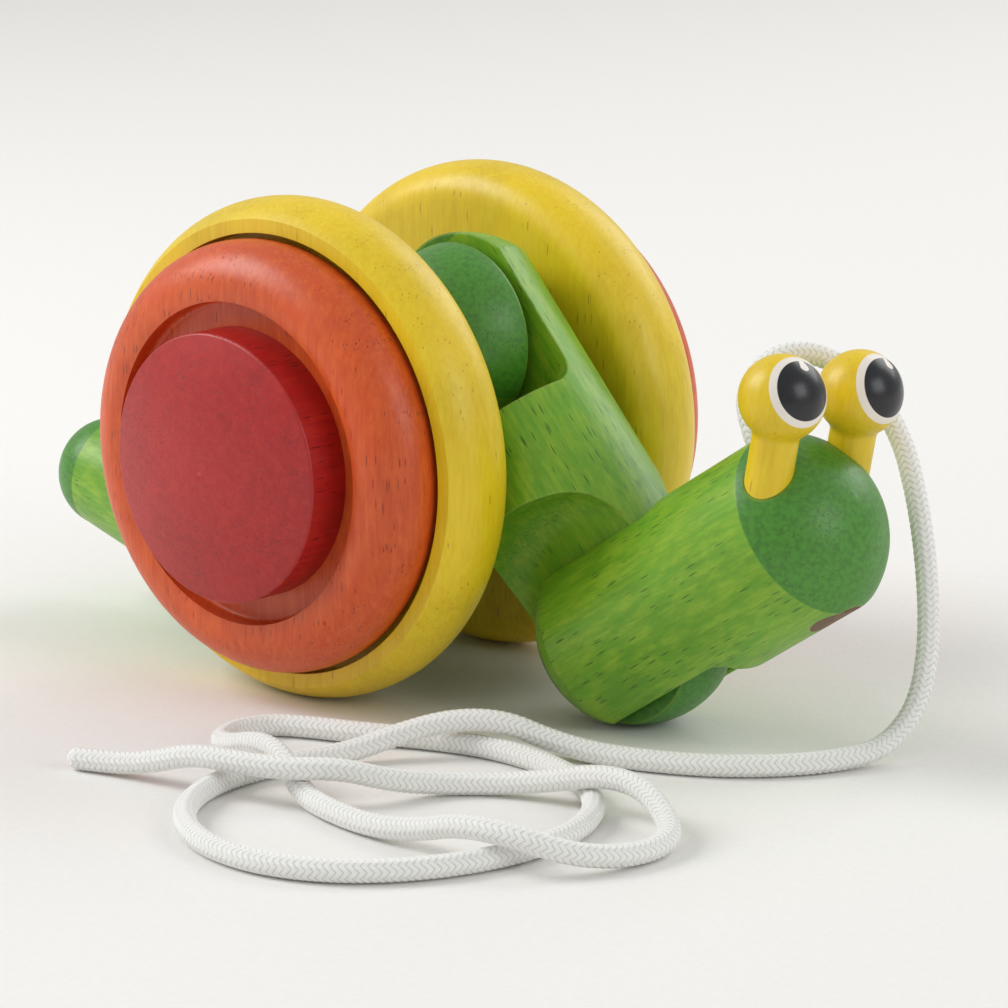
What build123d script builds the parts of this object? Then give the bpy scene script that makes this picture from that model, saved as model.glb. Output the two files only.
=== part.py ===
from build123d import *
from math import asin, cos, degrees, hypot, pi, radians, sin, sqrt, tan
import os

# A wooden pull-along snail. +X is forward, +Y is its left, +Z is up, millimetres.
# Four turned logs hinge together in a row: tail, rear link, front link, head. Two stacks of
# dished discs make the shell. They share one axle, which runs through the top hinge and sits off
# the discs' centres, so the snail humps its back as it rolls.

# ---- driving dimensions ----
wheel_radius = 45.0
wheel_x = -9.92                 # the discs' common centre line
axle_offset = (15.9, 18.8)      # from that centre line to the axle, in X and Z
log_radius = 16.7
foot_reach = 40.9               # from the axle to each foot pin, along X
foot_height = 17.5              # height of both foot pins

# outer disc, with Y measured outwards from the middle of the snail
disc_inner = 17.4
disc_outer = 32.7
crown_radius = 10.9             # of the rounded rim
crown_middle = 25.04
disc_inner_round = 6.0
disc_outer_round = 1.6
recess_radius = 39.4
recess_floor = 27.5

# middle disc, a full round rim round a shallow dish
ring_radius = 38.6
ring_section = 8.08
ring_middle = 34.66
dish_radius = 28.7
dish_floor = 39.3
dish_round = 0.9

# button
button_radius = 23.9
button_edge = 47.5
button_crown = 3.6
button_round = 0.5

# dowels and pins
axle_radius = 5.0
axle_half_length = 25.0
pin_radius = 4.0
pin_blind_end = -12.5
pin_flush_end = 16.1
running_gap = 0.08
stack_dowel_radius = 4.0
stack_dowel_start = 20.0
stack_dowel_end = 44.0

# rounded log ends: radius of the ball about the pin that each end is turned to
fork_ball = 18.2
foot_ball = 17.5
rear_top_ball = 16.85

# half lap at the axle, and the tongues at the feet
lap_length = 20.0
lap_corner = 4.2
front_lap_face = 0.4            # the front link keeps its left half, from this Y outwards
rear_lap_face = -1.9            # the rear link keeps its right half
closed_angle = 63.0             # least angle between the links that the laps leave room for
lap_clearance = 0.6
tongue_half_width = 6.2
tongue_shoulder = 25.8          # radius of the shoulders about the foot pin
tongue_scoop = 7.0              # hollow between a shoulder and the tongue
edge_round = 0.8                # of the slots' rims

# head and tail, along each log from its foot pin
head_tilt = 33.0
head_length = 45.0
head_dome = 11.2
tail_tilt = 7.8
tail_taper_start = 8.0
tail_length = 51.6
tail_tip_radius = 10.6
tail_dome = 10.1
slot_half_width = 7.8
slot_depth = 19.8
slot_corner = 2.0

# eyes: a ball on a tapered peg, leaning forward
eye_lean = 11.0
eye_radius = 7.4
eye_peg_radius = 4.0
eye_neck_hollow = 2.0           # rounding between a ball and its peg
eye_peg_drop = 21.0
eye_fit = 0.02
right_eye_place = (86.4, -10.0, 65.3)
left_eye_place = (87.1, 10.0, 63.0)

# cord, with its bore square to the head, its knot and the plug below
cord_radius = 2.0
cord_bore_radius = 2.7
cord_along = 41.2               # along the head, from its pin
knot_radius = 4.4
knot_height = 6.1               # above the head's centre line, as are the next two
chamber_top = 9.6
cord_start_height = 8.5
plug_radius = 4.75
plug_depth = 5.0
run_share = 0.45

# the cord's route from the knot to its free end
rest = 2.05                     # height of its centre where it lies on the floor
over = 6.65                     # and where it crosses another strand
cord_route = [
    (70.0, 0.4, 57.6),
    (69.2, 2.6, 64.2),
    (71.0, 8.6, 68.2),
    (74.3, 15.8, 67.2),
    (79.0, 21.8, 61.6),
    (84.8, 24.2, 53.8),
    (90.2, 22.3, 43.5),
    (94.4, 20.0, 31.5),
    (96.8, 17.8, 19.0),
    (97.2, 14.2, 8.6),
    (95.4, 7.2, 2.6),
    (92.2, -2.2, rest),
    (86.8, -10.8, rest),
    (78.6, -18.0, rest),
    (69.0, -22.6, rest),
    (59.0, -25.4, rest),
    (51.0, -28.6, 3.6),
    (44.6, -32.6, over),
    (37.4, -37.6, over),
    (31.6, -44.8, 4.6),
    (27.2, -53.2, rest),
    (23.6, -63.4, rest),
    (22.0, -75.4, rest),
    (25.0, -87.8, rest),
    (32.8, -98.4, rest),
    (44.6, -105.6, rest),
    (58.0, -107.4, rest),
    (70.2, -103.4, rest),
    (79.4, -94.6, rest),
    (85.0, -83.0, rest),
    (87.0, -70.0, rest),
    (84.8, -57.6, rest),
    (78.0, -47.0, rest),
    (67.6, -39.4, rest),
    (55.0, -35.0, rest),
    (42.0, -34.4, rest),
    (30.4, -37.8, rest),
    (20.6, -42.6, rest),
    (11.6, -45.6, rest),
    (4.6, -49.0, rest),
    (2.6, -56.2, rest),
    (6.2, -63.4, 2.4),
    (13.6, -67.4, 4.0),
    (21.8, -69.4, over),
    (30.0, -72.0, over),
    (38.4, -75.8, 2.2),
    (48.5, -79.4, rest),
    (59.5, -81.0, rest),
    (69.2, -80.8, 3.4),
    (79.0, -82.0, over),
    (88.8, -80.6, over),
    (96.6, -75.0, 3.6),
    (101.0, -66.2, rest),
    (101.2, -56.8, rest),
    (97.0, -50.6, 3.2),
    (87.4, -46.4, over),
    (77.6, -46.2, over),
    (67.4, -46.8, 3.6),
    (58.4, -49.6, rest),
    (51.4, -55.8, rest),
    (47.6, -64.0, 3.6),
    (43.6, -71.8, over),
    (36.8, -77.8, over),
    (28.0, -80.6, over),
    (19.0, -81.8, over),
    (10.0, -82.6, 3.6),
    (1.4, -83.8, rest),
    (-6.8, -86.2, rest),
]

os.makedirs("parts", exist_ok=True)

# ---- places worked out from them ----
axle = Vector(wheel_x + axle_offset[0], 0, wheel_radius + axle_offset[1])
link_length = sqrt(foot_reach**2 + (axle.Z - foot_height) ** 2)
link_angle = degrees(asin((axle.Z - foot_height) / link_length))
front_foot = Vector(axle.X + foot_reach, 0, foot_height)
rear_foot = Vector(axle.X - foot_reach, 0, foot_height)
hub = Vector(wheel_x, 0, wheel_radius)
hub_axis = Axis(hub, (0, 1, 0))
hub_plane = Plane(hub, x_dir=(1, 0, 0), z_dir=(0, 0, 1))
through = 3 * log_radius


def side_plane(origin, angle, side):
    """A plane whose X runs along a log at that angle above +X, with its Z towards side * Y."""
    along = (cos(radians(angle)), 0, sin(radians(angle)))
    return Plane(origin=origin, x_dir=along, z_dir=(0, side, 0))


def top_plane(plane):
    """The same plane tipped over its X, so that its Z is the log's upward normal."""
    return Plane(origin=plane.origin, x_dir=plane.x_dir, z_dir=plane.y_dir)


# each has X along its log and Y along the log's upper normal
front_plane = side_plane(axle, -link_angle, -1)
rear_plane = side_plane(axle, 180 + link_angle, 1)
head_plane = side_plane(front_foot, head_tilt, -1)
tail_plane = side_plane(rear_foot, 180 - tail_tilt, 1)


def crease(ball):
    """How far before the ball's centre it meets the log's side."""
    return sqrt(ball**2 - log_radius**2)


def turned_log(plane, start_ball, end, end_radius, end_tip, taper_from=0):
    """Adds a log turned about the plane's X, its start rounded by a ball about the origin."""
    start = -crease(start_ball)
    side = [(start, log_radius)]
    if end_radius < log_radius:
        side.append((taper_from, log_radius))
    side.append((end, end_radius))
    tip_ball = (end_radius**2 + (end_tip - end) ** 2) / (2 * (end_tip - end))
    with BuildSketch(plane) as profile:
        with BuildLine():
            Polyline(*side)
            RadiusArc((end, end_radius), (end_tip, 0), tip_ball)
            Line((end_tip, 0), (-start_ball, 0))
            RadiusArc((-start_ball, 0), (start, log_radius), start_ball)
        make_face()
    revolve(profile.sketch, axis=Axis(plane.origin, plane.x_dir))


def across(place, radius, start, end, mode):
    """A round rod or hole along Y, from start to end."""
    end_plane = Plane((place.X, start, place.Z), x_dir=(1, 0, 0), z_dir=(0, 1, 0))
    with BuildSketch(end_plane) as profile:
        Circle(radius)
    extrude(profile.sketch, amount=end - start, mode=mode)


def lap_cutter(plane, face, side):
    """The block that a half lap leaves empty, from the plane Y = face towards side."""
    lean = radians(closed_angle)
    clear = log_radius + lap_clearance
    knee = (lap_length, (clear - lap_length * sin(lean)) / cos(lean))
    foot = ((clear + 2 * log_radius * cos(lean)) / sin(lean), -2 * log_radius)
    back = -2 * log_radius
    flip = 1 if plane.z_dir.Y * side > 0 else -1
    outline = [(back, 2 * log_radius), (lap_length, 2 * log_radius), knee, foot, (back, foot[1])]
    with BuildPart() as cutter:
        with BuildSketch(Plane((axle.X, face, axle.Z), x_dir=plane.x_dir, z_dir=(0, side, 0))):
            with BuildLine():
                Polyline(*[(x, flip * y) for x, y in outline], close=True)
            make_face()
        extrude(amount=through)
        inner = edges().group_by(Axis.Y)[0 if side > 0 else -1]
        fillet(inner.filter_by(lambda e: past_lap(e, plane)), lap_corner)
    return cutter.part


def past_lap(edge, plane):
    """Whether an edge of the block is the lap's floor rather than its open sides."""
    along = plane.to_local_coords(edge.center()).X
    return lap_length - 0.1 < along < lap_length + log_radius


def cheek_scoop(foot, side):
    """The round-nosed plug that takes one cheek off a link and leaves its middle tongue."""
    face = (foot.X, side * tongue_half_width, foot.Z)
    with BuildPart() as scoop:
        with BuildSketch(Plane(face, x_dir=(1, 0, 0), z_dir=(0, side, 0))):
            Circle(tongue_shoulder)
        extrude(amount=through)
        fillet(scoop.edges().group_by(Axis.Y)[0 if side > 0 else -1], tongue_scoop)
    return scoop.part


def slot_rim(edge, plane):
    """Whether an edge is where the slot comes out through a log's skin."""
    middle = plane.to_local_coords(edge @ 0.5)
    on_cheek = abs(abs(middle.Z) - slot_half_width) < 0.1 or middle.X > slot_depth - slot_corner
    return on_cheek and middle.X < slot_depth + 0.1 and (
        hypot(middle.Y, middle.Z) > 0.7 * log_radius or middle.X < -slot_half_width
    )


def fork_slot(plane):
    """Cuts a slot down through a log's start, with a straight floor."""
    with BuildSketch(top_plane(plane)) as profile:
        with Locations(((slot_depth - through) / 2, 0)):
            RectangleRounded(slot_depth + through, 2 * slot_half_width, slot_corner)
    extrude(profile.sketch, amount=through, both=True, mode=Mode.SUBTRACT)
    fillet(edges().filter_by(lambda e: slot_rim(e, plane)), edge_round)


def fork_pin_bores(foot):
    """Bores both ears for the glued pin: blind on the right, through on the left."""
    across(foot, pin_radius, pin_blind_end, through, Mode.SUBTRACT)


def outer_disc(side):
    """Adds the dished outer disc on one side."""
    rim = wheel_radius - crown_radius
    inner = rim + sqrt(crown_radius**2 - (crown_middle - disc_inner) ** 2)
    outer = rim + sqrt(crown_radius**2 - (disc_outer - crown_middle) ** 2)
    with BuildSketch(hub_plane) as profile:
        with BuildLine():
            inner_face = Line((0, side * disc_inner), (inner, side * disc_inner))
            crown = ThreePointArc(
                inner_face @ 1, (wheel_radius, side * crown_middle), (outer, side * disc_outer)
            )
            Polyline(
                crown @ 1,
                (recess_radius, side * disc_outer),
                (recess_radius, side * recess_floor),
                (0, side * recess_floor),
                (0, side * disc_inner),
            )
        make_face()
        rims = vertices().filter_by(lambda v: v.X > recess_radius + 0.5)
        rims = rims.sort_by(lambda v: abs(v.Y))
        fillet(rims[0], disc_inner_round)
        fillet(rims[-1], disc_outer_round)
    revolve(profile.sketch, axis=hub_axis)


def middle_ring(side):
    """Adds the middle disc on one side, whose rim is a full round."""
    centre = ring_radius - ring_section
    back = centre + sqrt(ring_section**2 - (ring_middle - recess_floor) ** 2)
    brim = ring_middle + sqrt(ring_section**2 - (centre - dish_radius) ** 2)
    with BuildSketch(hub_plane) as profile:
        with BuildLine():
            Line((0, side * recess_floor), (back, side * recess_floor))
            ThreePointArc(
                (back, side * recess_floor),
                (ring_radius, side * ring_middle),
                (centre, side * (ring_middle + ring_section)),
            )
            ThreePointArc(
                (centre, side * (ring_middle + ring_section)),
                (
                    centre - ring_section * sin(radians(6)),
                    side * (ring_middle + ring_section * cos(radians(6))),
                ),
                (dish_radius, side * brim),
            )
            Polyline(
                (dish_radius, side * brim),
                (dish_radius, side * dish_floor),
                (0, side * dish_floor),
                (0, side * recess_floor),
            )
        make_face()
        corner = vertices().filter_by(lambda v: abs(v.X - dish_radius) < 0.01)
        fillet(corner.sort_by(lambda v: abs(v.Y))[0], dish_round)
    revolve(profile.sketch, axis=hub_axis)


def hub_button(side):
    """Adds the domed button on one side."""
    crown = (button_radius**2 + button_crown**2) / (2 * button_crown)
    top = button_edge + button_crown
    middle = button_radius / 2
    rise = sqrt(crown**2 - middle**2) - (crown - top)
    with BuildSketch(hub_plane) as profile:
        with BuildLine():
            Polyline(
                (0, side * top),
                (0, side * dish_floor),
                (button_radius, side * dish_floor),
                (button_radius, side * button_edge),
            )
            ThreePointArc(
                (button_radius, side * button_edge), (middle, side * rise), (0, side * top)
            )
        make_face()
        edge = vertices().filter_by(lambda v: abs(abs(v.Y) - button_edge) < 0.01)
        fillet(edge, button_round)
    revolve(profile.sketch, axis=hub_axis)


def side_bore(side, place, radius, start, end):
    """Bores one stack along Y, from start to end outwards from the middle."""
    across(place, radius, min(side * start, side * end), max(side * start, side * end), Mode.SUBTRACT)


# ---- the two stacks of discs, left and right ----
with BuildPart() as outer_wheel_left:
    outer_disc(1)
    side_bore(1, axle, axle_radius, 0, axle_half_length)
    side_bore(1, hub, stack_dowel_radius, stack_dowel_start, stack_dowel_end)

with BuildPart() as outer_wheel_right:
    outer_disc(-1)
    side_bore(-1, axle, axle_radius, 0, axle_half_length)
    side_bore(-1, hub, stack_dowel_radius, stack_dowel_start, stack_dowel_end)

with BuildPart() as middle_ring_left:
    middle_ring(1)
    side_bore(1, hub, stack_dowel_radius, stack_dowel_start, stack_dowel_end)

with BuildPart() as middle_ring_right:
    middle_ring(-1)
    side_bore(-1, hub, stack_dowel_radius, stack_dowel_start, stack_dowel_end)

with BuildPart() as hub_button_left:
    hub_button(1)
    side_bore(1, hub, stack_dowel_radius, stack_dowel_start, stack_dowel_end)

with BuildPart() as hub_button_right:
    hub_button(-1)
    side_bore(-1, hub, stack_dowel_radius, stack_dowel_start, stack_dowel_end)

with BuildPart() as stack_dowel_left:
    across(hub, stack_dowel_radius, stack_dowel_start, stack_dowel_end, Mode.ADD)

with BuildPart() as stack_dowel_right:
    across(hub, stack_dowel_radius, -stack_dowel_end, -stack_dowel_start, Mode.ADD)

with BuildPart() as axle_dowel:
    across(axle, axle_radius, -axle_half_length, axle_half_length, Mode.ADD)

# ---- the two links ----
front_lap = lap_cutter(front_plane, front_lap_face, -1)
rear_lap = lap_cutter(rear_plane, rear_lap_face, 1)
front_scoops = [cheek_scoop(front_foot, side) for side in (1, -1)]
rear_scoops = [cheek_scoop(rear_foot, side) for side in (1, -1)]

with BuildPart() as front_link:
    turned_log(front_plane, fork_ball, link_length + crease(foot_ball), log_radius,
               link_length + foot_ball)
    add(front_lap, mode=Mode.SUBTRACT)
    add(front_scoops, mode=Mode.SUBTRACT)
    across(axle, axle_radius + running_gap, -through, through, Mode.SUBTRACT)
    across(front_foot, pin_radius + running_gap, -through, through, Mode.SUBTRACT)

with BuildPart() as rear_link:
    turned_log(rear_plane, rear_top_ball, link_length + crease(foot_ball), log_radius,
               link_length + foot_ball)
    add(rear_lap, mode=Mode.SUBTRACT)
    add(rear_scoops, mode=Mode.SUBTRACT)
    across(axle, axle_radius + running_gap, -through, through, Mode.SUBTRACT)
    across(rear_foot, pin_radius + running_gap, -through, through, Mode.SUBTRACT)

# ---- head and tail ----
eye_up = Vector(sin(radians(eye_lean)), 0, cos(radians(eye_lean)))
cord_plane = Plane(
    origin=head_plane.from_local_coords((cord_along, 0, 0)),
    x_dir=head_plane.x_dir,
    z_dir=head_plane.y_dir,
)


def eye_hole(place):
    """Bores the head for one eye's peg."""
    with BuildSketch(Plane(origin=Vector(*place) - eye_up * eye_peg_drop, z_dir=eye_up)) as profile:
        Circle(eye_peg_radius + eye_fit)
    extrude(profile.sketch, amount=eye_peg_drop - eye_radius, mode=Mode.SUBTRACT)


with BuildPart() as head:
    turned_log(head_plane, fork_ball, head_length, log_radius, head_length + head_dome)
    fork_slot(head_plane)
    fork_pin_bores(front_foot)
    eye_hole(right_eye_place)
    eye_hole(left_eye_place)
    with BuildSketch(cord_plane):
        Circle(cord_bore_radius)
    extrude(amount=through, mode=Mode.SUBTRACT)
    with BuildSketch(cord_plane.offset(chamber_top)):
        Circle(plug_radius)
    extrude(amount=-through, mode=Mode.SUBTRACT)

with BuildPart() as tail:
    turned_log(tail_plane, fork_ball, tail_length, tail_tip_radius, tail_length + tail_dome,
               tail_taper_start)
    fork_slot(tail_plane)
    fork_pin_bores(rear_foot)

with BuildPart() as front_pivot_pin:
    across(front_foot, pin_radius, pin_blind_end, pin_flush_end, Mode.ADD)

with BuildPart() as rear_pivot_pin:
    across(rear_foot, pin_radius, pin_blind_end, pin_flush_end, Mode.ADD)


# ---- eyes ----
def eye_shape(place):
    """Adds a ball on its peg."""
    neck_drop = sqrt(eye_radius**2 - eye_peg_radius**2)
    with BuildSketch(Plane(origin=place, x_dir=(0, 1, 0), z_dir=(eye_up.Z, 0, -eye_up.X))) as profile:
        with BuildLine():
            Polyline(
                (0, eye_radius),
                (0, -eye_peg_drop),
                (eye_peg_radius, -eye_peg_drop),
                (eye_peg_radius, -neck_drop),
            )
            ThreePointArc((eye_peg_radius, -neck_drop), (eye_radius, 0), (0, eye_radius))
        make_face()
        neck = vertices().filter_by(lambda v: abs(v.X - eye_peg_radius) < 0.01).sort_by(Axis.Y)[-1]
        fillet(neck, eye_neck_hollow)
    revolve(profile.sketch, axis=Axis(place, eye_up))


with BuildPart() as eye_right:
    eye_shape(right_eye_place)

with BuildPart() as eye_left:
    eye_shape(left_eye_place)

# ---- the cord's plug, its knot and the cord ----
with BuildPart() as cord_plug:
    turned_log(head_plane, fork_ball, head_length, log_radius, head_length + head_dome)
    with BuildSketch(cord_plane.offset(plug_depth - log_radius)):
        Circle(plug_radius)
    extrude(amount=-through, mode=Mode.INTERSECT)

with BuildPart() as cord_knot:
    with BuildSketch(Plane(origin=cord_plane.origin, x_dir=cord_plane.x_dir,
                           z_dir=(0, -1, 0))):
        with BuildLine():
            Line((0, knot_height - knot_radius), (0, knot_height + knot_radius))
            ThreePointArc(
                (0, knot_height + knot_radius),
                (knot_radius, knot_height),
                (0, knot_height - knot_radius),
            )
        make_face()
    revolve(axis=Axis(cord_plane.origin, cord_plane.z_dir))
    with BuildSketch(cord_plane.offset(cord_start_height)):
        Circle(cord_radius)
    extrude(amount=knot_radius, mode=Mode.SUBTRACT)

cord_start = cord_plane.from_local_coords((0, 0, cord_start_height))
cord_points = [cord_start] + [Vector(*point) for point in cord_route]
cord_runs = [b - a for a, b in zip(cord_points, cord_points[1:])]
cord_radii = []
for before, after in zip(cord_runs, cord_runs[1:]):
    half_turn = radians(before.get_angle(after) / 2)
    cord_radii.append(run_share * min(before.length, after.length) / tan(half_turn))
print("cord arc radii:", [round(radius, 1) for radius in cord_radii])

with BuildPart() as pull_cord:
    with BuildLine():
        cord_path = FilletPolyline(*cord_points, radius=cord_radii)
    with BuildSketch(Plane(origin=cord_path @ 0, z_dir=cord_path % 0)):
        Circle(cord_radius)
    sweep()
print("cord length:", round(cord_path.length, 1))
print("cord volume over section times length:",
      round(pull_cord.part.volume / (pi * cord_radius**2 * cord_path.length), 4))

# ---- write every piece ----
pieces = {
    "outer_wheel_left": outer_wheel_left,
    "outer_wheel_right": outer_wheel_right,
    "middle_ring_left": middle_ring_left,
    "middle_ring_right": middle_ring_right,
    "hub_button_left": hub_button_left,
    "hub_button_right": hub_button_right,
    "stack_dowel_left": stack_dowel_left,
    "stack_dowel_right": stack_dowel_right,
    "axle_dowel": axle_dowel,
    "front_link": front_link,
    "rear_link": rear_link,
    "head": head,
    "tail": tail,
    "front_pivot_pin": front_pivot_pin,
    "rear_pivot_pin": rear_pivot_pin,
    "eye_right": eye_right,
    "eye_left": eye_left,
    "cord_plug": cord_plug,
    "cord_knot": cord_knot,
    "pull_cord": pull_cord,
}
for name, piece in pieces.items():
    piece.part.label = name
    export_step(piece.part, f"parts/{name}.step")
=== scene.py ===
from math import cos, pi, radians, sin

import bpy
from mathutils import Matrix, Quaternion, Vector


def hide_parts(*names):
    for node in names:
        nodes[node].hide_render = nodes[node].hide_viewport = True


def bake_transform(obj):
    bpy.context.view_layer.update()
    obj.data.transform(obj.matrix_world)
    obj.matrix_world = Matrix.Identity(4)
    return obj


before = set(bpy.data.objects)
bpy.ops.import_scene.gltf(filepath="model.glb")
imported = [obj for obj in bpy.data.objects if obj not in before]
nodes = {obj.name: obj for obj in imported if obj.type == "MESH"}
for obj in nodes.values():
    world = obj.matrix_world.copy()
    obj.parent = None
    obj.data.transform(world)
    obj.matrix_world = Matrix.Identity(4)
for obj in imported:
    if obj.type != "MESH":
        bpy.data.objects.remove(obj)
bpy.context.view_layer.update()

scene = bpy.context.scene

# ---- places on the snail, in metres: +X forward, +Y its left, +Z up ----
axle = Vector((0.00598, 0, 0.0638))
front_foot = Vector((0.04688, 0, 0.0175))
rear_foot = Vector((-0.03492, 0, 0.0175))
link_length = (front_foot - axle).length
head_tilt = radians(33)
tail_tilt = radians(7.8)
# from a pin out to where a log's side grain gives way to end grain
fork_end = 0.0112
foot_end = 0.0053
front_top_end = 0.015
rear_top_end = 0.0022
head_length = 0.045
tail_length = 0.0516
cord_radius = 0.002


# ---- camera ----
camera = bpy.data.objects.new("camera", bpy.data.cameras.new("camera"))
scene.collection.objects.link(camera)
scene.camera = camera
camera.data.lens = 176.77
camera.data.sensor_width = 36
camera.data.clip_end = 20
camera.location = (0.5894, -0.6360, 0.2396)
aim = Vector((-0.00068, 0.01754, 0.02849))
sight = (aim - camera.location).to_track_quat("-Z", "Y") @ Quaternion((0, 0, 1), radians(-0.19))
camera.rotation_euler = sight.to_euler()
scene.view_settings.view_transform = "Standard"


# ---- the cord's route, from inside the head to its free end ----
rest = 0.00205                  # height of its centre on the floor
over = 0.00665                  # and over another strand
cord_route = [
    (0.0768, 0.0, 0.04707),
    (0.07, 0.0004, 0.0576),
    (0.0692, 0.0026, 0.0642),
    (0.071, 0.0086, 0.0682),
    (0.0743, 0.0158, 0.0672),
    (0.079, 0.0218, 0.0616),
    (0.0848, 0.0242, 0.0538),
    (0.0902, 0.0223, 0.0435),
    (0.0944, 0.02, 0.0315),
    (0.0968, 0.0178, 0.019),
    (0.0972, 0.0142, 0.0086),
    (0.0954, 0.0072, 0.0026),
    (0.0922, -0.0022, rest),
    (0.0868, -0.0108, rest),
    (0.0786, -0.018, rest),
    (0.069, -0.0226, rest),
    (0.059, -0.0254, rest),
    (0.051, -0.0286, 0.0036),
    (0.0446, -0.0326, over),
    (0.0374, -0.0376, over),
    (0.0316, -0.0448, 0.0046),
    (0.0272, -0.0532, rest),
    (0.0236, -0.0634, rest),
    (0.022, -0.0754, rest),
    (0.025, -0.0878, rest),
    (0.0328, -0.0984, rest),
    (0.0446, -0.1056, rest),
    (0.058, -0.1074, rest),
    (0.0702, -0.1034, rest),
    (0.0794, -0.0946, rest),
    (0.085, -0.083, rest),
    (0.087, -0.07, rest),
    (0.0848, -0.0576, rest),
    (0.078, -0.047, rest),
    (0.0676, -0.0394, rest),
    (0.055, -0.035, rest),
    (0.042, -0.0344, rest),
    (0.0304, -0.0378, rest),
    (0.0206, -0.0426, rest),
    (0.0116, -0.0456, rest),
    (0.0046, -0.049, rest),
    (0.0026, -0.0562, rest),
    (0.0062, -0.0634, 0.0024),
    (0.0136, -0.0674, 0.004),
    (0.0218, -0.0694, over),
    (0.03, -0.072, over),
    (0.0384, -0.0758, 0.0022),
    (0.0485, -0.0794, rest),
    (0.0595, -0.081, rest),
    (0.0692, -0.0808, 0.0034),
    (0.079, -0.082, over),
    (0.0888, -0.0806, over),
    (0.0966, -0.075, 0.0036),
    (0.101, -0.0662, rest),
    (0.1012, -0.0568, rest),
    (0.097, -0.0506, 0.0032),
    (0.0874, -0.0464, over),
    (0.0776, -0.0462, over),
    (0.0674, -0.0468, 0.0036),
    (0.0584, -0.0496, rest),
    (0.0514, -0.0558, rest),
    (0.0476, -0.064, 0.0036),
    (0.0436, -0.0718, over),
    (0.0368, -0.0778, over),
    (0.028, -0.0806, over),
    (0.019, -0.0818, over),
    (0.01, -0.0826, 0.0036),
    (0.0014, -0.0838, rest),
    (-0.0068, -0.0862, rest),
]


def route_line(points):
    """Points along the smooth line that the route's control points give."""
    curve = bpy.data.curves.new("cord_line", "CURVE")
    curve.dimensions = "3D"
    spline = curve.splines.new("NURBS")
    spline.points.add(len(points) - 1)
    for point, place in zip(spline.points, points):
        point.co = (*place, 1)
    spline.order_u = 3
    spline.use_endpoint_u = True
    spline.resolution_u = 16
    holder = bpy.data.objects.new("cord_line", curve)
    mesh = bpy.data.meshes.new_from_object(holder)
    line = [vertex.co.copy() for vertex in mesh.vertices]
    bpy.data.objects.remove(holder)
    bpy.data.meshes.remove(mesh)
    return line


def evenly(line, step):
    """Points a step apart along a line of points, and how far along each one is."""
    places, marks = [line[0].copy()], [0.0]
    travelled = 0.0
    due = step
    for start, end in zip(line, line[1:]):
        length = (end - start).length
        while travelled + length >= due:
            places.append(start.lerp(end, (due - travelled) / length))
            marks.append(due)
            due += step
        travelled += length
    return places, marks


braid_columns = 10              # ribs round the cord, leaning left and right by turns
braid_pitch = 0.00115           # along the cord, from one stitch to the next
braid_depth = 0.0003
braid_lean = 0.9                # stitches that a rib's slant spans
stitch_threads = 5
thread_relief = 0.00008
tube_sides = 36
tube_step = 0.00026
seal_length = 0.0016            # the melted end
seal_width = 0.55               # of its tip, as a share of the cord's
seal_height = 0.6


def braid_height(turn, along):
    """How far the braid stands out, from 0 to 1, at a share of a turn and a place along."""
    column = turn * braid_columns
    across = column % 1.0 - 0.5
    lean = 1 if int(column) % 2 else -1
    stitch = abs(cos(pi * (along / braid_pitch + lean * across * braid_lean)))
    rib = 1 - (2 * abs(across)) ** 3
    return stitch ** 0.7 * rib


def braided_tube(name, line):
    """A tube with a braided surface along a line of points."""
    places, marks = evenly(line, tube_step)
    total = marks[-1]
    vertices, faces, corners = [], [], []
    normal = Vector((0, 1, 0))
    for i, place in enumerate(places):
        ahead = places[min(i + 1, len(places) - 1)] - places[max(i - 1, 0)]
        ahead.normalize()
        normal = (normal - ahead * normal.dot(ahead)).normalized()
        side = ahead.cross(normal)
        left = total - marks[i]
        sealed = left <= seal_length
        seal = seal_width + (1 - seal_width) * (left / seal_length) ** 0.5 if sealed else 1.0
        for k in range(tube_sides):
            turn = k / tube_sides
            height = seal_height if sealed else braid_height(turn, marks[i])
            radius = (cord_radius - braid_depth * (1 - height)) * seal
            angle = 2 * pi * turn
            vertices.append(place + (normal * cos(angle) + side * sin(angle)) * radius)
    for i in range(len(places) - 1):
        for k in range(tube_sides):
            after = (k + 1) % tube_sides
            base = i * tube_sides
            faces.append((base + k, base + after, base + after + tube_sides,
                          base + k + tube_sides))
            low, high = marks[i], marks[i + 1]
            corners += [(k / tube_sides, low), ((k + 1) / tube_sides, low),
                        ((k + 1) / tube_sides, high), (k / tube_sides, high)]
    for ring in (0, len(places) - 1):
        base = ring * tube_sides
        loop = [base + k for k in range(tube_sides)]
        faces.append(loop[::-1] if ring == 0 else loop)
        corners += [(k / tube_sides, marks[ring]) for k in range(tube_sides)]
    mesh = bpy.data.meshes.new(name)
    mesh.from_pydata(vertices, [], faces)
    layer = mesh.uv_layers.new(name="braid")
    for loop, corner in zip(layer.data, corners):
        loop.uv = corner
    for polygon in mesh.polygons:
        polygon.use_smooth = True
    piece = bpy.data.objects.new(name, mesh)
    scene.collection.objects.link(piece)
    return piece, places


# ---- materials ----
def linear(red, green, blue):
    """A colour given in the 0 to 255 way, as the shader wants it."""
    def channel(value):
        value /= 255
        return value / 12.92 if value <= 0.04045 else ((value + 0.055) / 1.055) ** 2.4
    return (channel(red), channel(green), channel(blue), 1)


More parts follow.
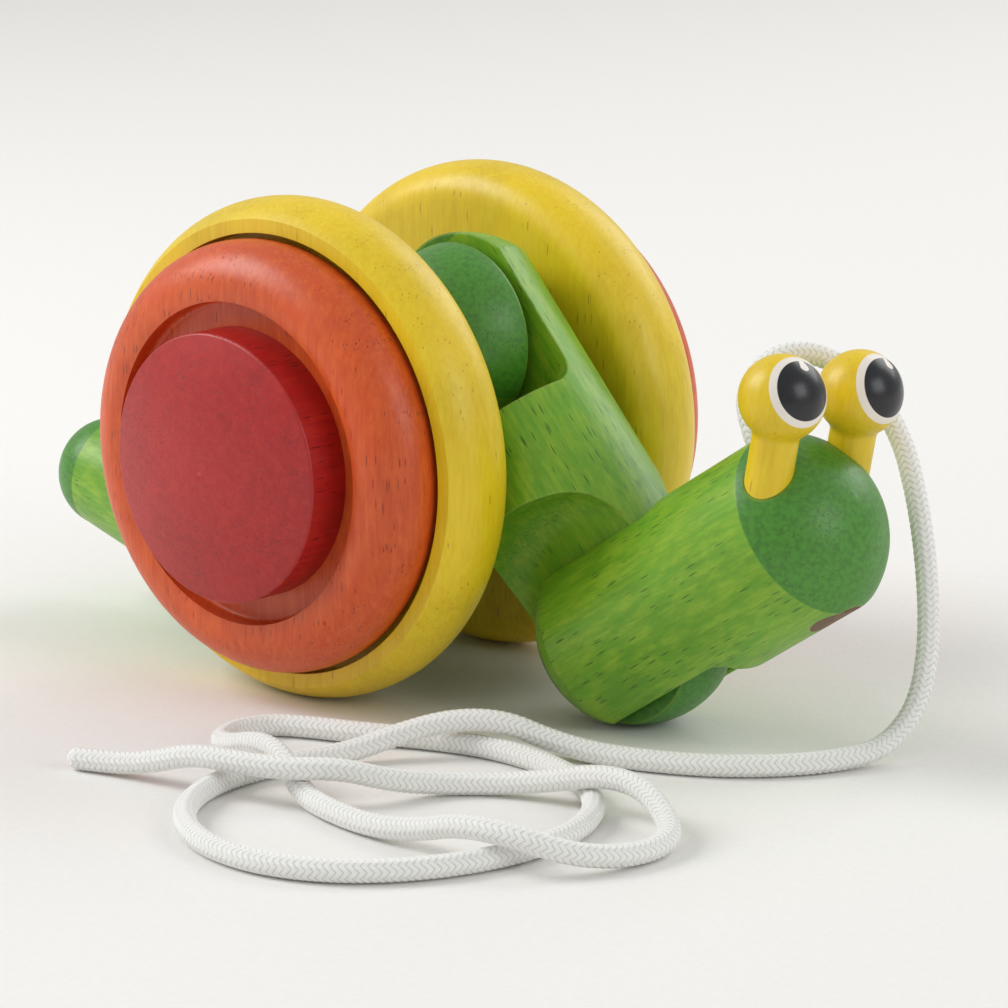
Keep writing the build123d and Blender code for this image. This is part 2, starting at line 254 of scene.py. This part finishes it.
class Nodes:
    """A material's node tree, with short calls to add and join nodes."""

    def __init__(self, name, roughness, specular=0.5):
        self.material = bpy.data.materials.new(name)
        self.material.use_nodes = True
        self.tree = self.material.node_tree
        self.shader = self.tree.nodes["Principled BSDF"]
        self.shader.inputs["Roughness"].default_value = roughness
        self.shader.inputs["Specular IOR Level"].default_value = specular

    def put(self, socket, value):
        """Joins a socket to another's output, or sets its value."""
        if hasattr(value, "is_output"):
            self.tree.links.new(value, socket)
        else:
            socket.default_value = value

    def add(self, kind, **settings):
        node = self.tree.nodes.new(kind)
        for key, value in settings.items():
            setattr(node, key, value)
        return node

    def math(self, operation, first, second=0.0, clamp=False):
        node = self.add("ShaderNodeMath", operation=operation, use_clamp=clamp)
        self.put(node.inputs[0], first)
        self.put(node.inputs[1], second)
        return node.outputs[0]

    def vector(self, operation, first, second=(0, 0, 0)):
        node = self.add("ShaderNodeVectorMath", operation=operation)
        self.put(node.inputs[0], first)
        self.put(node.inputs[1], second)
        return node.outputs["Value" if operation == "DOT_PRODUCT" else "Vector"]

    def between(self, value, low, high):
        """0 below low, 1 above high and smooth between them."""
        node = self.add("ShaderNodeMapRange", interpolation_type="SMOOTHSTEP")
        self.put(node.inputs["Value"], value)
        node.inputs["From Min"].default_value = low
        node.inputs["From Max"].default_value = high
        return node.outputs["Result"]

    def mix(self, share, first, second, blend="MIX"):
        """A mix of two colours by a share of the second."""
        node = self.add("ShaderNodeMix", data_type="RGBA", blend_type=blend)
        self.put(node.inputs["Factor"], share)
        colours = [socket for socket in node.inputs if socket.type == "RGBA"]
        self.put(colours[0], first)
        self.put(colours[1], second)
        return [out for out in node.outputs if out.type == "RGBA"][0]

    def noise(self, place, scale, detail=2.0, rough=0.5):
        node = self.add("ShaderNodeTexNoise")
        self.put(node.inputs["Vector"], place)
        node.inputs["Scale"].default_value = scale
        node.inputs["Detail"].default_value = detail
        node.inputs["Roughness"].default_value = rough
        return node.outputs["Fac"]

    def bump(self, height, strength, depth, normal=None):
        """Gives the shader's surface a relief of that depth, in metres."""
        node = self.add("ShaderNodeBump")
        node.inputs["Strength"].default_value = strength
        node.inputs["Distance"].default_value = depth
        self.put(node.inputs["Height"], height)
        if normal:
            self.put(node.inputs["Normal"], normal)
        self.put(self.shader.inputs["Normal"], node.outputs[0])

    def log_space(self, origin, along):
        """Object coordinates with X along the grain, from origin, in metres."""
        across = Vector(along).orthogonal().normalized()
        third = Vector(along).cross(across)
        here = self.vector("SUBTRACT", self.add("ShaderNodeTexCoord").outputs["Object"], origin)
        combine = self.add("ShaderNodeCombineXYZ")
        for socket, axis in zip(combine.inputs, (along, across, third)):
            self.put(socket, self.vector("DOT_PRODUCT", here, axis))
        return combine.outputs[0]


def darker(colour, share):
    """A colour with its light cut to a share."""
    return tuple(share * channel for channel in colour[:3]) + (1,)


# features of the wood: noise scales in cells a metre, lengths in metres, grain along X
cloud_scale = 60
blotch_scale = 520
blotch_stretch = (0.35, 1, 1)
fibre_scale = 1500
fibre_stretch = (0.05, 1, 1)
pore_cells = (260, 2500, 2500)
pore_patch_scale = 150
end_grain_scale = 1100
end_blur_before = 0.0002
end_blur_beyond = 0.00015
edge_round_radius = 0.0007
wood_relief = 0.00012
wax_coat = 0.12


def end_grain(n, place, tone, before, beyond, colour):
    """The tone with end grain laid over it, before and beyond two places along a log."""
    ahead = n.add("ShaderNodeSeparateXYZ")
    n.put(ahead.inputs[0], place)
    past = n.between(ahead.outputs["X"], beyond - end_blur_beyond, beyond + end_blur_beyond)
    onward = n.between(ahead.outputs["X"], before - end_blur_before, before + end_blur_before)
    mask = n.math("MAXIMUM", past, n.math("SUBTRACT", 1.0, onward))
    speckle = n.between(n.noise(place, end_grain_scale, 2), 0.35, 0.7)
    return n.mix(mask, tone, n.mix(speckle, colour, darker(colour, 0.72)))


def pore_mask(n, place, stretched, share):
    """Short pores along the grain, gathered in patches: 1 in a pore and 0 beside it."""
    cells = n.add("ShaderNodeTexVoronoi", feature="F1")
    n.put(cells.inputs["Vector"], n.vector("MULTIPLY", place, pore_cells))
    cells.inputs["Scale"].default_value = 1
    chance = n.add("ShaderNodeSeparateColor")
    n.put(chance.inputs[0], cells.outputs["Color"])
    patch = n.between(n.noise(stretched, pore_patch_scale, 2), 0.38, 0.62)
    chosen = n.math("LESS_THAN", chance.outputs[0], n.math("MULTIPLY", patch, share * 2))
    outside = n.between(cells.outputs["Distance"], 0.16, 0.42)
    return n.math("MULTIPLY", chosen, n.math("SUBTRACT", 1.0, outside))


def rounded_edges(n):
    """A normal that rounds sharp edges, and a mask of where they are."""
    bevel = n.add("ShaderNodeBevel", samples=4)
    bevel.inputs["Radius"].default_value = edge_round_radius
    surface = n.add("ShaderNodeNewGeometry").outputs["Normal"]
    turn = n.vector("DOT_PRODUCT", bevel.outputs[0], surface)
    return bevel.outputs[0], n.math("SUBTRACT", 1.0, n.between(turn, 0.86, 0.99))


def dyed_wood(name, colour, spot, pore, origin=(0, 0, 0), along=(0, 0, 1), roughness=0.42,
              ends=None, spots=0.5, pores=0.12, painted_edge_highlight=None):
    """Dyed and waxed wood: blotches, fibres and short dark pores that run along the grain."""
    n = Nodes(name, roughness)
    place = n.log_space(Vector(origin), Vector(along).normalized())
    stretched = n.vector("MULTIPLY", place, blotch_stretch)
    cloud = n.between(n.noise(place, cloud_scale, 2), 0.35, 0.68)
    blotch = n.between(n.noise(stretched, blotch_scale, 4, 0.65), 0.36, 0.72)
    fibre = n.noise(n.vector("MULTIPLY", place, fibre_stretch), fibre_scale, 3, 0.6)
    tone = n.mix(cloud, colour, darker(colour, 0.88))
    tone = n.mix(n.math("MULTIPLY", blotch, spots), tone, spot)
    shade = n.math("MULTIPLY", n.between(fibre, 0.3, 0.75), 0.3)
    tone = n.mix(shade, tone, (0.0, 0.0, 0.0, 1), "SOFT_LIGHT")
    if ends:
        tone = end_grain(n, place, tone, *ends)
    hole = pore_mask(n, place, stretched, pores)
    tone = n.mix(n.math("MULTIPLY", hole, 0.85), tone, pore)
    normal = None
    if painted_edge_highlight:
        normal, edge = rounded_edges(n)
        # a lighter colour painted along the rounded edges: a painted highlight
        tone = n.mix(n.math("MULTIPLY", edge, 0.55), tone, painted_edge_highlight)
    n.put(n.shader.inputs["Base Color"], tone)
    gloss = n.math("ADD", roughness - 0.08, n.math("MULTIPLY", fibre, 0.18))
    n.put(n.shader.inputs["Roughness"], gloss)
    n.bump(n.math("SUBTRACT", n.math("MULTIPLY", fibre, 0.25), hole), 0.35, wood_relief, normal)
    n.shader.inputs["Coat Weight"].default_value = wax_coat
    n.shader.inputs["Coat Roughness"].default_value = 0.3
    return n


def wear(node, made):
    """Puts a material on a CAD node."""
    slots = nodes[node].data.materials
    slots.clear()
    slots.append(made.material)


# each dye as its colour, its blotches and its pores
yellow = (linear(236, 204, 22), linear(240, 214, 52), linear(176, 132, 22))
green = (linear(112, 172, 32), linear(154, 190, 48), linear(52, 92, 18))
orange = (linear(214, 84, 24), linear(228, 112, 44), linear(134, 40, 12))
red = (linear(176, 22, 20), linear(190, 44, 38), linear(96, 10, 10))
bare = (linear(214, 180, 130), linear(226, 196, 150), linear(150, 110, 66))
brown = (linear(112, 80, 50), linear(136, 100, 66), linear(58, 38, 22))
green_end = linear(74, 140, 40)
# a lighter green painted on the rounded edges as a highlight
green_edge_highlight = linear(176, 206, 84)

toward_head = Vector((cos(head_tilt), 0, sin(head_tilt)))
above_head = Vector((-sin(head_tilt), 0, cos(head_tilt)))
toward_tail = Vector((-cos(tail_tilt), 0, sin(tail_tilt)))
down_front = (front_foot - axle).normalized()
down_rear = (rear_foot - axle).normalized()
crosswise = (0, 1, 0)

# each green log's origin, its direction, and where its side grain starts and ends
logs = {
    "head": (front_foot, toward_head, -fork_end, head_length),
    "tail": (rear_foot, toward_tail, -fork_end, tail_length),
    "front_link": (axle, down_front, -front_top_end, link_length + foot_end),
    "rear_link": (axle, down_rear, -rear_top_end, link_length + foot_end),
}
for node, (origin, along, before, beyond) in logs.items():
    wear(node, dyed_wood(f"green_{node}", *green, origin, along, spots=0.7, pores=0.13,
                         ends=(before, beyond, green_end), painted_edge_highlight=green_edge_highlight))

for side in ("left", "right"):
    wear(f"outer_wheel_{side}", dyed_wood(f"yellow_{side}", *yellow, spots=0.45, pores=0.05))
    wear(f"middle_ring_{side}", dyed_wood(f"orange_{side}", *orange, spots=0.45, pores=0.14))
    wear(f"hub_button_{side}", dyed_wood(f"red_{side}", *red, along=crosswise, pores=0.22))
    wear(f"stack_dowel_{side}", dyed_wood(f"dowel_{side}", *bare, along=crosswise))
for node in ("axle_dowel", "front_pivot_pin", "rear_pivot_pin"):
    wear(node, dyed_wood(f"bare_{node}", *bare, along=crosswise))
wear("cord_plug", dyed_wood("brown_plug", *brown, front_foot, above_head, 0.6))


# ---- painted eyes ----
peg_direction = (0.19, 0, 0.98)
# cosines of the angles from the gaze at which the white and the pupil begin and are full
white_edge = (cos(radians(55.0)), cos(radians(53.6)))
pupil_edge = (cos(radians(44.0)), cos(radians(43.0)))
# the glint's radius and how much less it is at its tail, as shares of the eye's radius
glint_size = 0.115
glint_narrows = 0.075


def painted_eye(name, centre, gaze, glint, glint_tail):
    """Yellow wood with a white disc and a black pupil, and a glint that reaches its edge."""
    n = dyed_wood(name, *yellow, centre, peg_direction, 0.36, spots=0.3, pores=0.03)
    wood_colour = n.shader.inputs["Base Color"].links[0].from_socket
    here = n.vector("SUBTRACT", n.add("ShaderNodeTexCoord").outputs["Object"], centre)
    outward = n.vector("NORMALIZE", here)
    facing = n.vector("DOT_PRODUCT", outward, Vector(gaze).normalized())
    white = n.between(facing, *white_edge)
    pupil = n.between(facing, *pupil_edge)
    glint = Vector(glint)
    reach = Vector(glint_tail) - glint
    share = n.math("DIVIDE", n.vector("DOT_PRODUCT", n.vector("SUBTRACT", outward, glint), reach),
                   reach.length_squared, clamp=True)
    tail = n.add("ShaderNodeVectorMath", operation="SCALE")
    n.put(tail.inputs[0], reach)
    n.put(tail.inputs["Scale"], share)
    off = n.vector("SUBTRACT", n.vector("SUBTRACT", outward, glint), tail.outputs[0])
    size = n.math("SUBTRACT", glint_size, n.math("MULTIPLY", share, glint_narrows))
    span = n.math("POWER", n.vector("DOT_PRODUCT", off, off), 0.5)
    shine = n.between(n.math("SUBTRACT", size, span), -0.01, 0.012)
    pupil = n.math("MULTIPLY", pupil, n.math("SUBTRACT", 1.0, shine))
    brush = n.noise(n.vector("MULTIPLY", here, (1, 1, 0.25)), 2600, 3, 0.7)
    ink = n.mix(brush, linear(8, 9, 12), linear(30, 32, 38))
    tone = n.mix(white, wood_colour, linear(236, 228, 218))
    tone = n.mix(pupil, tone, ink)
    n.put(n.shader.inputs["Base Color"], tone)
    n.put(n.shader.inputs["Roughness"], n.math("SUBTRACT", 0.42, n.math("MULTIPLY", pupil, 0.12)))
    return n


right_eye = Vector((0.0864, -0.010, 0.0653))
left_eye = Vector((0.0871, 0.010, 0.0630))
wear("eye_right", painted_eye("eye_paint_right", right_eye, (0.91, -0.18, 0.37),
                              (0.614, 0.015, 0.789), (0.392, 0.098, 0.915)))
wear("eye_left", painted_eye("eye_paint_left", left_eye, (0.93, 0.0, 0.29),
                             (0.670, 0.209, 0.713), (0.468, 0.244, 0.849)))


# ---- cord ----
def cord_cloth():
    """White braid, with the fine threads of each stitch as bumps along the braid, and painted
    shade darkening the grooves between stitches.
    """
    n = Nodes("white_braid", 0.62, 0.3)
    spun = n.add("ShaderNodeTexCoord").outputs["UV"]
    part = n.add("ShaderNodeSeparateXYZ")
    n.put(part.inputs[0], spun)
    column = n.math("MULTIPLY", part.outputs["X"], float(braid_columns))
    across = n.math("SUBTRACT", n.math("FRACT", column), 0.5)
    lean = n.math("SUBTRACT",
                  n.math("MULTIPLY", n.math("FLOORED_MODULO", n.math("FLOOR", column), 2.0), 2.0),
                  1.0)
    along = n.math("DIVIDE", part.outputs["Y"], braid_pitch)
    phase = n.math("ADD", along, n.math("MULTIPLY", n.math("MULTIPLY", lean, across), braid_lean))
    gap = n.math("ABSOLUTE", n.math("COSINE", n.math("MULTIPLY", phase, pi)))
    threads = n.math("SINE", n.math("MULTIPLY", phase, 2 * pi * stitch_threads))
    # the colour darkens from the stitches' crowns into the grooves between them: painted shade
    unshaded_crown = n.between(gap, 0.0, 0.55)
    tone = n.mix(unshaded_crown, linear(214, 214, 208), linear(248, 248, 244))
    n.put(n.shader.inputs["Base Color"], tone)
    n.bump(threads, 0.3, thread_relief)
    n.shader.inputs["Sheen Weight"].default_value = 0.25
    n.shader.inputs["Sheen Roughness"].default_value = 0.4
    n.shader.inputs["Subsurface Weight"].default_value = 0.15
    n.shader.inputs["Subsurface Radius"].default_value = (0.001, 0.001, 0.001)
    return n


braid = cord_cloth()
cord, cord_path = braided_tube("braided_cord", route_line(cord_route))
cord.data.materials.append(braid.material)
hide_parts("pull_cord")
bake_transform(cord)
wear("cord_knot", braid)


# ---- floor and light ----
weave_scale = 1400
cloth_relief = 0.0002


def pale_cloth():
    """A plain off-white cloth with a faint weave."""
    n = Nodes("pale_cloth", 0.9, 0.1)
    place = n.add("ShaderNodeTexCoord").outputs["Object"]
    weave = n.noise(n.vector("MULTIPLY", place, (1, 0.35, 1)), weave_scale, 2)
    tone = n.mix(weave, linear(233, 232, 228), linear(241, 240, 237))
    n.put(n.shader.inputs["Base Color"], tone)
    n.bump(weave, 0.25, cloth_relief)
    return n


reach = 6.0
floor_mesh = bpy.data.meshes.new("floor")
floor_mesh.from_pydata([(-reach, -reach, 0), (reach, -reach, 0), (reach, reach, 0),
                        (-reach, reach, 0)], [], [(0, 1, 2, 3)])
floor_mesh.materials.append(pale_cloth().material)
floor = bpy.data.objects.new("floor", floor_mesh)
scene.collection.objects.link(floor)


lit_middle = Vector((0, 0, 0.03))


def softbox(name, place, size, power):
    """A square area light that faces the snail."""
    light = bpy.data.lights.new(name, "AREA")
    light.size = size
    light.energy = power
    lamp = bpy.data.objects.new(name, light)
    lamp.location = place
    facing = lit_middle - Vector(place)
    lamp.rotation_euler = facing.to_track_quat("-Z", "Y").to_euler()
    scene.collection.objects.link(lamp)


softbox("key", (-0.72, -0.5, 0.72), 0.6, 7.5)
softbox("back", (0.1, 1.1, 0.8), 0.9, 6.0)
softbox("fill", (1.0, 0.05, 0.5), 0.5, 2.2)

world = bpy.data.worlds.new("studio")
scene.world = world
world.use_nodes = True
world.node_tree.nodes["Background"].inputs["Color"].default_value = (1, 1, 1, 1)
world.node_tree.nodes["Background"].inputs["Strength"].default_value = 0.52
